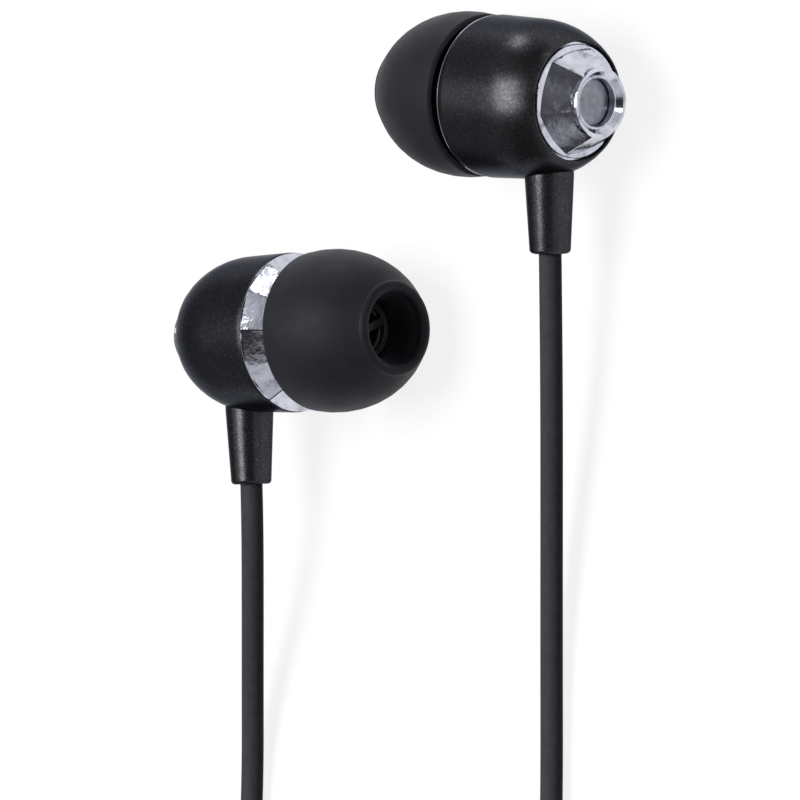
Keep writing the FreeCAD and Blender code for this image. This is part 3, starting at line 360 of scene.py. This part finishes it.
def outline(corners, closing=None):
    """Points of a closed outline of lines and arcs, where (x, r, through) ends an arc through a point."""
    if closing:
        corners = [(*corners[0], closing)] + corners[1:]
    points = []
    for index, start in enumerate(corners):
        end = corners[(index + 1) % len(corners)]
        points.append((start[0], start[1]))
        if len(end) == 2:
            continue
        centre = circle_centre(start, end[2], end)
        radius = math.hypot(start[0] - centre[0], start[1] - centre[1])
        first = math.atan2(start[1] - centre[1], start[0] - centre[0])
        middle = unwrap(math.atan2(end[2][1] - centre[1], end[2][0] - centre[0]), first)
        last = unwrap(math.atan2(end[1] - centre[1], end[0] - centre[0]), middle)
        count = max(2, math.ceil(abs(math.degrees(last - first)) / ARC_STEP))
        for part in range(1, count):
            angle = first + (last - first) * part / count
            points.append((centre[0] + radius * math.cos(angle), centre[1] + radius * math.sin(angle)))
    return points


def unwrap(angle, near):
    """The same direction as an angle within half a turn of another angle."""
    return angle + 2 * math.pi * round((near - angle) / (2 * math.pi))


def circle_centre(one, two, three):
    """The centre of the circle through three points of a plane."""
    a, b, c = (Vector(point[:2]) for point in (one, two, three))
    scale = 2 * (a.x * (b.y - c.y) + b.x * (c.y - a.y) + c.x * (a.y - b.y))
    x = (a.dot(a) * (b.y - c.y) + b.dot(b) * (c.y - a.y) + c.dot(c) * (a.y - b.y)) / scale
    y = (a.dot(a) * (c.x - b.x) + b.dot(b) * (a.x - c.x) + c.dot(c) * (b.x - a.x)) / scale
    return x, y


def spin(name, rings, segments=SEGMENTS, turn=0.0):
    """A mesh turned about X from a closed outline in millimetres; a ring may follow the angle."""
    mesh = bmesh.new()
    loops = []
    for ring in rings:
        if not callable(ring) and ring[1] < ON_AXIS:
            loops.append([mesh.verts.new((ring[0] * MM, 0, 0))] * segments)
            continue
        loop = []
        for index in range(segments):
            angle = turn + 2 * math.pi * index / segments
            station, reach = ring(angle) if callable(ring) else ring
            loop.append(mesh.verts.new(Vector((station, reach * math.cos(angle),
                                               reach * math.sin(angle))) * MM))
        loops.append(loop)
    for loop, other in zip(loops, loops[1:] + loops[:1]):
        for one in range(segments):
            two = (one + 1) % segments
            corners = [loop[one], loop[two], other[two], other[one]]
            face = [corner for spot, corner in enumerate(corners) if corner not in corners[:spot]]
            if len(face) > 2:
                mesh.faces.new(face)
    bmesh.ops.recalc_face_normals(mesh, faces=mesh.faces)
    data = bpy.data.meshes.new(name)
    mesh.to_mesh(data)
    mesh.free()
    return new_object(name, data)


def new_object(name, data):
    """An object in the scene that shows its data."""
    item = bpy.data.objects.new(name, data)
    bpy.context.scene.collection.objects.link(item)
    return item


def finish_piece(piece, slot, nodes, place, bevel, bevel_steps=2, body=ROOT):
    """Round the edges, give the finish, put the piece in its place and let it stand for its nodes."""
    for face in piece.data.polygons:
        face.use_smooth = True
    if bevel:
        rounding = piece.modifiers.new("round_edges", "BEVEL")
        rounding.width = bevel * MM
        rounding.segments = bevel_steps
        rounding.limit_method = "ANGLE"
        rounding.angle_limit = BEVEL_ANGLE
        piece.modifiers.new("flat_normals", "WEIGHTED_NORMAL").keep_sharp = True
    piece.data.materials.append(MATERIALS[slot])
    piece.data.transform(place)
    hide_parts(*nodes)
    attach(piece, body)
    return piece


def turned(name, corners, slot, nodes, closing=None, **settings):
    """A finished piece turned from an outline, whose last side is an arc if it has a closing point."""
    return finish_piece(spin(name, outline(corners, closing)), slot, nodes, **settings)


# Earphones

def bud_matrix(side):
    """From an earphone's own frame, with X along its axis, to the shared one."""
    bud = BUDS[side]
    place = Matrix.Translation(Vector((bud["x"], bud["y"], TIP_RADIUS)) * MM)
    place = place @ Matrix.Rotation(math.radians(bud["yaw"]), 4, "Z")
    place = place @ Matrix.Rotation(math.radians(bud["roll"]), 4, "X")
    return place @ Matrix.Rotation(math.radians(bud["flip"]), 4, "Y")


def barrel(side, place):
    """The black shell, bored for the driver and open at the back for the cap."""
    turned(f"{side}_barrel", [
        (SHELL_BACK, 4.38), (SHELL_BACK, 4.52), (6.89, 5.92, (4.14, 5.44)), (10.55, 6.03),
        (SHELL_FRONT, 5.97), (SHELL_FRONT, SHELL_BORE), (6.4, SHELL_BORE), (3.4, 4.38),
    ], "housing", [f"{side}_rear_shell"], place=place, bevel=0.07, bevel_steps=3)


def facet_ring(cone, level, crest=0.0, flat=1.0):
    """A ring at one end or the waist of a cone of facets, flat or part round, outside a round crest."""
    (foot_station, foot_reach), (head_station, head_reach) = cone["foot"], cone["head"]
    half = math.pi / cone["facets"]

    def ring(angle):
        away = (angle - cone["turn"]) % (2 * half) - half
        widen = math.cos(away) / math.cos(half)
        corner = max(cone[level][1], crest * widen)
        share = (foot_reach - corner) / (foot_reach - head_reach)
        return foot_station + share * (head_station - foot_station), corner * (1 - flat + flat / widen)
    return ring


def faceted(name, rings, cone, nodes, place):
    """A chrome piece whose facet ridges fall between two points of each ring, which blunts them."""
    piece = spin(name, rings, FACET_SEGMENTS, cone["turn"] + math.pi / FACET_SEGMENTS)
    finish_piece(piece, "chrome", nodes, place=place, bevel=None)
    piece.data.set_sharp_from_angle(angle=RIDGE_ANGLE)


def end_cap(side, place):
    """Chrome cap: six flat facets between a round flange and a dished crest, and its grey disc."""
    faceted(f"{side}_faceted_cap", [
        (2.9, 4.19), (2.5, 4.19), (2.45, 4.14), facet_ring(CAP_CONE, "foot", flat=0.5),
        facet_ring(CAP_CONE, "head", crest=CAP_CREST), (0.12, CAP_CREST), (0.04, 2.57), (0.0, 2.48),
        (0.0, 2.38), (0.04, 2.31), (0.44, 1.94), (0.42, 1.9), (0.42, 1.83), (0.47, 1.8), (1.32, 1.8),
        (1.32, 0.0), (1.75, 0.0), (1.75, 2.6), (2.9, 3.59), (3.6, 3.59), (3.6, 4.33), (2.9, 4.33),
    ], CAP_CONE, [f"{side}_end_cap"], place)
    turned(f"{side}_cap_inlay", [(1.02, 0.0), (1.02, 0.85), (0.99, 0.92), (0.99, 1.67), (1.07, 1.75),
                                  (1.29, 1.75), (1.29, 0.0)],
           "cap_disc", [f"{side}_cap_disc"], place=place, bevel=0.03)


def front(side, place):
    """The bezel ring, the nozzle with its guard and the silicone tip."""
    faceted(f"{side}_bezel", [
        (RIM, 5.965), (RIM + 0.09, 5.965), facet_ring(BEZEL_CONE, "foot", flat=0.45),
        facet_ring(BEZEL_CONE, "waist"), facet_ring(BEZEL_CONE, "head"),
        (BEZEL_FRONT, 4.2), (RIM - 0.7, 4.2), (RIM - 0.7, 5.2), (RIM, 5.2),
    ], BEZEL_CONE, [f"{side}_bezel_ring"], place)
    turned(f"{side}_sound_nozzle", [
        (11.36, 3.6), (11.36, 4.15), (NOZZLE_BASE, 4.15), (12.91, 2.1, (12.61, 2.75)), (17.6, 2.1),
        (17.82, 2.3), (NOZZLE_END - 0.22, 2.3), (NOZZLE_END, 2.15), (NOZZLE_END, 1.98),
        (GUARD_BACK - 0.03, 1.98), (GUARD_BACK - 0.03, 1.6), (12.91, 1.6), (12.01, 3.15),
    ], "front_housing", [f"{side}_nozzle"], place=place, bevel=0.04)
    guard(side, place)
    out = TIP_SEAT + BUDS[side]["tip_out"]
    turned(f"{side}_silicone_tip", [
        (0, 5.6), (0, 5.85), (0.2, 6.02, (0.06, 5.97)), (4.3, 5.8, (2.1, 6.14)), (8.05, 3.6, (6.6, 4.76)),
        (7.77, 2.82, (8.42, 3.21)), (5.9, 2.35, (7.16, 2.4675)), (1.1, 2.35), (1.1, 2.95), (5.9, 2.95),
        (6.2, 3.85), (3.88, 5.38, (5.3, 4.8)),
    ], "silicone", [f"{side}_ear_tip"], closing=(2.1, 5.72), body=f"{side}_ear_tip_body",
        place=place @ Matrix.Translation((out * MM, 0, 0)), bevel=0.1, bevel_steps=3)


def guard(side, place):
    """The ring and its three spokes, which meet at the centre, as one flat shape with softened edges."""
    points = []
    end = math.hypot(SPOKES["reach"], SPOKES["half_width"])
    for index in range(SPOKES["count"]):
        middle = SPOKES["first"] + 360 / SPOKES["count"] * index
        points += [(SPOKES["notch"], middle - 180 / SPOKES["count"])]
        points += [(end, middle + turn) for turn in (-SPOKES["half_angle"], SPOKES["half_angle"])]
    spokes = bmesh.new()
    loops = []
    for station in (GUARD_BACK, GUARD_FRONT):
        loops.append([spokes.verts.new(Vector((station, reach * math.cos(math.radians(angle)),
                                               reach * math.sin(math.radians(angle)))) * MM)
                      for reach, angle in points])
    spokes.faces.new(loops[0])
    spokes.faces.new(loops[1][::-1])
    for index in range(len(points)):
        after = (index + 1) % len(points)
        spokes.faces.new([loops[0][index], loops[1][index], loops[1][after], loops[0][after]])
    ring = [(GUARD_BACK, 1.8), (GUARD_BACK, 1.95), (GUARD_FRONT, 1.95), (GUARD_FRONT, 1.8)]
    piece = spin(f"{side}_guard", ring, segments=SEGMENTS // 2)
    spokes.from_mesh(piece.data)
    bmesh.ops.recalc_face_normals(spokes, faces=spokes.faces)
    spokes.to_mesh(piece.data)
    spokes.free()
    finish_piece(piece, "front_housing", [f"{side}_nozzle_guard"], place=place, bevel=0.06)


def stem(side, place):
    """The tapered cord outlet, standing out of the barrel."""
    down = place @ Matrix.Translation((STEM_STATION * MM, 0, 0)) @ Matrix.Rotation(-math.pi / 2, 4, "Z")
    turned(f"{side}_cord_outlet", [
        (4.6, 0.88), (4.6, 1.82), (5.75, 1.82), (STEM_LENGTH - 0.3, 1.53),
        (STEM_LENGTH, 1.23, (STEM_LENGTH - 0.087, 1.443)), (STEM_LENGTH, 0.88),
    ], "housing", [f"{side}_stem"], place=down, bevel=0.04)
    return down


stems = {}
for side in BUDS:
    place = bud_matrix(side)
    barrel(side, place)
    end_cap(side, place)
    front(side, place)
    stems[side] = stem(side, place)


# Cords

def coil(kind, entry_x, centre_y, quarters):
    """Control points of piled layers, each some quarter turns in or out; the curve cuts inside them."""
    step = 2 * math.pi / COIL_STEPS
    widen = 1 / (0.75 + 0.25 * math.cos(step))
    radius = kind["inner"] + kind["pitch"] * quarters[0] / 4
    centre = Vector((entry_x + radius, centre_y, 0))
    height = COIL_LIFT + kind["diameter"] / 2
    angle = math.pi
    outward = -1
    law = []
    for level, count in enumerate(quarters):
        law.append((angle, count * math.pi / 2, radius, outward * kind["pitch"] * count / 4, height, 0))
        angle += count * math.pi / 2
        radius += outward * kind["pitch"] * count / 4
        if level < len(quarters) - 1:
            law.append((angle, math.pi, radius, 0, height, kind["layer"]))
            angle += math.pi
            height += kind["layer"]
        outward = -outward
    end = angle
    points = []
    count = math.ceil((end - math.pi) / step)
    for index in range(count):
        angle = math.pi + (index + 0.5) * (end - math.pi) / count
        begin, span, first, drift, low, climb = next(
            row for row in reversed(law) if row[0] <= angle)
        share = (angle - begin) / span
        reach = (first + drift * share) * widen
        rise = climb * share * share * (3 - 2 * share)
        points.append(centre + Vector((reach * math.cos(angle), reach * math.sin(angle), low + rise)))
    entry = Vector((entry_x, centre_y + kind["diameter"], COIL_LIFT + kind["diameter"] / 2))
    return {"entry": entry, "points": points}


def cord(name, groups, kind):
    """A round cord as one smooth curve with its route as control points, in millimetres."""
    points = []
    for group in groups:
        points += [Vector(place) for place in group]
    data = bpy.data.curves.new(name, "CURVE")
    data.dimensions = "3D"
    data.bevel_depth = kind["diameter"] / 2 * MM
    data.bevel_resolution = 8
    data.resolution_u = 6
    data.use_fill_caps = True
    spline = data.splines.new("NURBS")
    spline.points.add(len(points) - 1)
    for target, point in zip(spline.points, points):
        target.co = (*(point * MM), 1)
    spline.order_u = 3
    spline.use_endpoint_u = True
    return new_object(name, data), points[0] * MM


def stem_run(side):
    """The cord's first two points: the stem's end and a straight run out of it."""
    stations = (STEM_LENGTH, STEM_LENGTH + STEM_RUN[side])
    return [stems[side] @ Vector((station * MM, 0, 0)) / MM for station in stations]


coils = {name: coil(**plan) for name, plan in COILS.items()}
splitter_place = (Matrix.Translation(SPLITTER_TOP * MM)
                  @ Matrix.Rotation(math.radians(SPLITTER_TURN), 4, "Z"))


def in_splitter(along, across=0.0):
    """A point of the splitter's own frame, in millimetres of the shared one."""
    return splitter_place @ Vector((along * MM, across * MM, 0)) / MM


CORDS = {
    "left_cable": (BRANCH, [
        stem_run("left"), LEFT_ROUTE, [coils["left"]["entry"] + COIL_RUN_IN], coils["left"]["points"],
        LEFT_LEAD_ROUTE, [in_splitter(-SPLITTER_RUN_IN, -BRANCH_OFFSET), in_splitter(0, -BRANCH_OFFSET)]]),
    "right_cable": (BRANCH, [
        stem_run("right"), RIGHT_ROUTE, [coils["right"]["entry"] + COIL_RUN_IN], coils["right"]["points"],
        RIGHT_LEAD_ROUTE, [in_splitter(-SPLITTER_RUN_IN, BRANCH_OFFSET), in_splitter(0, BRANCH_OFFSET)]]),
    "main_cable": (MAIN, [
        [in_splitter(SPLITTER_LENGTH)], MAIN_ROUTE, coils["main"]["points"], TAIL_ROUTE, [PLUG_START]]),
}


# The splitter and the plug, and then the cords with what they carry

splitter = turned("splitter_moulding", [
    (0, 0), (0, 1.95), (0.5, 2.45, (0.145, 2.305)), (5.17, 2.45), (SPLITTER_LENGTH - 0.5, 1.75),
    (SPLITTER_LENGTH, 1.25, (SPLITTER_LENGTH - 0.145, 1.605)), (SPLITTER_LENGTH, 0),
], "plug_moulding", ["cord_splitter"], place=splitter_place, bevel=0.05)

plug_place = Matrix.Translation(PLUG_START * MM) @ Matrix.Rotation(-math.pi / 2, 4, "Z")


def boot_outline():
    """A flared relief with a groove between each two ribs, and the round tail inside the grip."""
    corners = [(0, 0), (0, BOOT_THIN)]
    for index in range(1, BOOT_RIBS):
        station = BOOT_LENGTH * index / BOOT_RIBS
        reach = BOOT_THIN + BOOT_FLARE * index / BOOT_RIBS
        corners += [(station - GROOVE, reach), (station - GROOVE_FLOOR, reach - GROOVE),
                    (station + GROOVE_FLOOR, reach - GROOVE), (station + GROOVE, reach)]
    return corners + [(BOOT_LENGTH, BOOT_THIN + BOOT_FLARE), (BOOT_LENGTH, BOOT_THIN),
                      (BOOT_END, BOOT_THIN), (BOOT_END, 0)]


plug_parts = [
    turned("bend_relief", boot_outline(), "plug_moulding", ["plug_boot"], place=plug_place, bevel=0.06),
    turned("grip", [
        (BOOT_LENGTH, 1.53), (BOOT_LENGTH, 2.4), (7.1, 3.0, (6.674, 2.826)), (PIN - 0.6, 3.0),
        (PIN, 2.4, (PIN - 0.174, 2.826)), (PIN, 2.03), (16.07, 2.03), (16.07, 1.53),
    ], "plug_moulding", ["plug_grip"], place=plug_place, bevel=0.05),
    turned("sleeve_contact", [
        (CORE, 1.25), (CORE, 2.0), (PIN, 2.0), (PIN, PIN_RADIUS), (SLEEVE_END, PIN_RADIUS),
        (SLEEVE_END, 1.25),
    ], "plug_metal", ["plug_sleeve"], place=plug_place, bevel=0.03),
    turned("rear_insulator", [
        (CORE, 0.98), (CORE, 1.22), (SLEEVE_END, 1.22), (SLEEVE_END, PIN_RADIUS), (RING_START, PIN_RADIUS),
        (RING_START, 0.98),
    ], "insulator", ["plug_rear_insulator"], place=plug_place, bevel=0.02),
    turned("ring_contact", [
        (CORE, 0.8), (CORE, 0.95), (RING_START, 0.95), (RING_START, PIN_RADIUS), (RING_END, PIN_RADIUS),
        (RING_END, 0.8),
    ], "plug_metal", ["plug_ring"], place=plug_place, bevel=0.03),
    turned("front_insulator", [
        (CORE, 0.58), (CORE, 0.77), (RING_END, 0.77), (RING_END, PIN_RADIUS), (TIP_START, PIN_RADIUS),
        (TIP_START, 0.58),
    ], "insulator", ["plug_front_insulator"], place=plug_place, bevel=0.02),
    turned("tip_contact", [
        (CORE, 0), (CORE, 0.55), (TIP_START, 0.55), (TIP_START, 1.65), (30.3, 1.2), (30.8, PIN_RADIUS),
        (33.5, 0, (32.8, 1.05)),
    ], "plug_metal", ["plug_tip"], place=plug_place, bevel=0.05),
]

for name, (kind, groups) in CORDS.items():
    piece, exit_point = cord(name, groups, kind)
    side = name.split("_")[0]
    piece.data.materials.append(MATERIALS["cord"])
    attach(piece, ROOT)
    if side == "main":
        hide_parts("main_cord", "main_coil", "main_cord_tail")
    else:
        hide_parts(f"{side}_cord", f"{side}_coil", f"{side}_coil_lead")


# Floor, light and camera, in metres and watts

FLOOR_REACH = 3.0
FLOOR_DROP = 0.02 * MM
FLOOR_SHADE = 0.2
FLOOR_BOUNCE = 0.14
FLOOR_GLOW = 0.86
GLOW_START, GLOW_END = 0.14, 0.6

# The world that the chrome mirrors: greys from one side of the room to the other, and a dark door
WORLD_FILL = 0.07
ROOM_AXIS = (0.927, -0.103, -0.36)
ROOM_GREYS = [(0.0, 0.2), (0.2, 0.35), (0.38, 0.08), (0.497, 0.08), (0.565, 0.34), (0.65, 0.65), (1.0, 0.85)]
ROOM_BLUE = 1.03
DOOR_AXIS = (0.7, 0, 0.714)
DOOR_HEART, DOOR_RIM = 0.95, 0.9
DOOR_LIGHT = 0.05

LAMPS = {
    "top_light": {"direction": (-0.12, 0.08, 0.99), "distance": 0.6, "size": (0.28, 0.42), "power": 2.8},
    "camera_light": {"direction": (0.68, 0.29, 0.72), "distance": 0.8, "size": (0.12, 0.12), "power": 0.3},
    "left_light": {"direction": (-0.61, 0.04, 0.79), "distance": 0.8, "size": (0.15, 0.4), "power": 0.25},
    "back_light": {"direction": (-0.33, 0.93, 0.14), "distance": 0.8, "size": (0.24, 0.13), "power": 0.9},
    "bezel_light": {"direction": (0.38, 0.9, 0.2), "distance": 0.8, "size": (0.1, 0.12), "power": 0.16},
}

CAMERA_TILT = math.radians(43.83)
CAMERA_TARGET = Vector((0.43, -11.27, 6.15)) * MM
CAMERA_DISTANCE = 0.75
CLIP_NEAR, CLIP_FAR = 0.01, 10
VIEW_WIDTH = 0.0596
SENSOR = 36.0
UP = Vector((0, 1, 0))


def stage_floor():
    """A white floor that stays white behind the object and keeps its shadow."""
    data = bpy.data.meshes.new("floor")
    corners = [(x * FLOOR_REACH, y * FLOOR_REACH, 0) for x, y in ((-1, -1), (1, -1), (1, 1), (-1, 1))]
    data.from_pydata(corners, [], [(0, 1, 2, 3)])
    floor = new_object("floor", data)
    floor.location.z = -FLOOR_DROP
    data.materials.append(floor_white())


def floor_white():
    """Dark to the object, and to the camera and mirrors a matte grey under a glow that grows outwards."""
    material = bpy.data.materials.new("floor_white")
    graph = Graph(material)
    graph.tree.nodes.clear()
    rays = graph.add("ShaderNodeLightPath").outputs
    seen = graph.maximum(rays["Is Camera Ray"], rays["Is Glossy Ray"])
    seen = graph.maximum(seen, rays["Is Transmission Ray"])
    distance = graph.add("ShaderNodeVectorMath", operation="LENGTH")
    graph.feed(distance, graph.add("ShaderNodeNewGeometry").outputs["Position"])
    strength = graph.fade(distance.outputs["Value"], GLOW_START, GLOW_END, FLOOR_GLOW)
    matte = graph.shade("ShaderNodeBsdfDiffuse", Color=(FLOOR_SHADE,) * 3)
    glow = graph.shade("ShaderNodeEmission", Strength=strength)
    shown = graph.feed(graph.add("ShaderNodeAddShader"), matte, glow).outputs[0]
    bounce = graph.shade("ShaderNodeBsdfDiffuse", Color=(FLOOR_BOUNCE,) * 3)
    graph.feed(graph.add("ShaderNodeOutputMaterial"), graph.choose(seen, bounce, shown))
    return material


def world_light():
    """White to the camera, a soft fill on the object, and a room with light walls in what it mirrors."""
    world = bpy.data.worlds.new("studio")
    bpy.context.scene.world = world
    graph = Graph(world)
    graph.tree.nodes.clear()
    rays = graph.add("ShaderNodeLightPath").outputs
    seen = graph.maximum(rays["Is Camera Ray"], rays["Is Transmission Ray"])
    direction = graph.add("ShaderNodeTexCoord").outputs["Generated"]
    walls = [(place, (grey, grey, grey * ROOM_BLUE)) for place, grey in ROOM_GREYS]
    room = graph.ramp(graph.fade(graph.toward(direction, ROOM_AXIS), -1, 1), *walls)
    door = graph.fade(graph.toward(direction, DOOR_AXIS), DOOR_HEART, DOOR_RIM, DOOR_LIGHT)
    mirrored = graph.shade("ShaderNodeBackground", Color=room, Strength=door)
    fill = graph.shade("ShaderNodeBackground", Strength=WORLD_FILL)
    white = graph.shade("ShaderNodeBackground", Color=(1, 1, 1))
    lit = graph.choose(rays["Is Glossy Ray"], fill, mirrored)
    graph.feed(graph.add("ShaderNodeOutputWorld"), graph.choose(seen, lit, white))


def softbox(name, direction, distance, size, power):
    """A rectangular lamp that faces the object from a direction."""
    data = bpy.data.lights.new(name, "AREA")
    data.shape = "RECTANGLE"
    data.size, data.size_y = size
    data.energy = power
    lamp = new_object(name, data)
    away = Vector(direction).normalized()
    lamp.location = away * distance
    side = UP.cross(away).normalized()
    lamp.rotation_mode = "QUATERNION"
    lamp.rotation_quaternion = Matrix((side, away.cross(side), away)).transposed().to_quaternion()


def make_camera():
    """A view from the right side and above, with the picture's up along +Y."""
    data = bpy.data.cameras.new("camera")
    data.sensor_width = SENSOR
    data.lens = SENSOR * CAMERA_DISTANCE / VIEW_WIDTH
    data.clip_start, data.clip_end = CLIP_NEAR, CLIP_FAR
    camera = new_object("camera", data)
    back = Vector((math.cos(CAMERA_TILT), 0, math.sin(CAMERA_TILT)))
    turn = Matrix((UP.cross(back), UP, back)).transposed().to_4x4()
    camera.matrix_world = Matrix.Translation(CAMERA_TARGET + back * CAMERA_DISTANCE) @ turn
    bpy.context.scene.camera = camera


stage_floor()
world_light()
for name, lamp in LAMPS.items():
    softbox(name, **lamp)
make_camera()
bpy.context.scene.view_settings.view_transform = "Standard"
